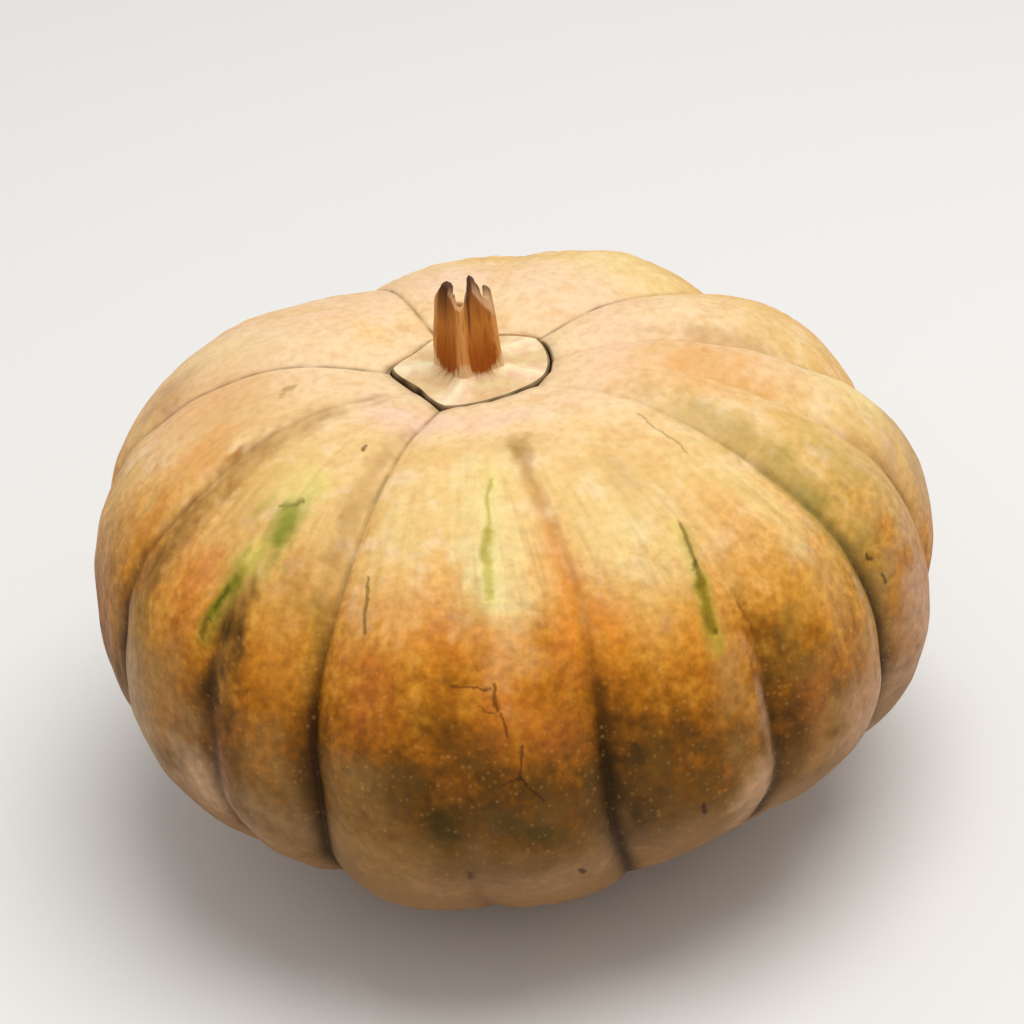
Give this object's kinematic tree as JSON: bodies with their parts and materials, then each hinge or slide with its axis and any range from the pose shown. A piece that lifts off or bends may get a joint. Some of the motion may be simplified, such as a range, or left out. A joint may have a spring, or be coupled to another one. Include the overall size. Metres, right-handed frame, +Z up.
{
  "type": "pumpkin",
  "caption": "Whole ribbed pumpkin, squat and slightly askew, with a dried fluted stem on a flared foot; it rests on its flat underside.",
  "frame": {"origin": "centre of the bounding box at its underside, on the plane of the flat resting spot", "axes": "+Z up along the stem; -Y the front, the side with the narrow lobes and the centre streak; +X to the right seen from the front"},
  "size_m": [0.2653, 0.2638, 0.1841],
  "materials": {
    "rind": "waxy satin rind, tan orange shading to brown below and pale cream at the crown, with green and olive streaks",
    "dried_stem": "dry fibrous brown bark with pale corky ridges and a cream foot"
  },
  "bodies": {
    "root": {"fruit": "rind", "stem": "dried_stem"}
  },
  "joints": []
}
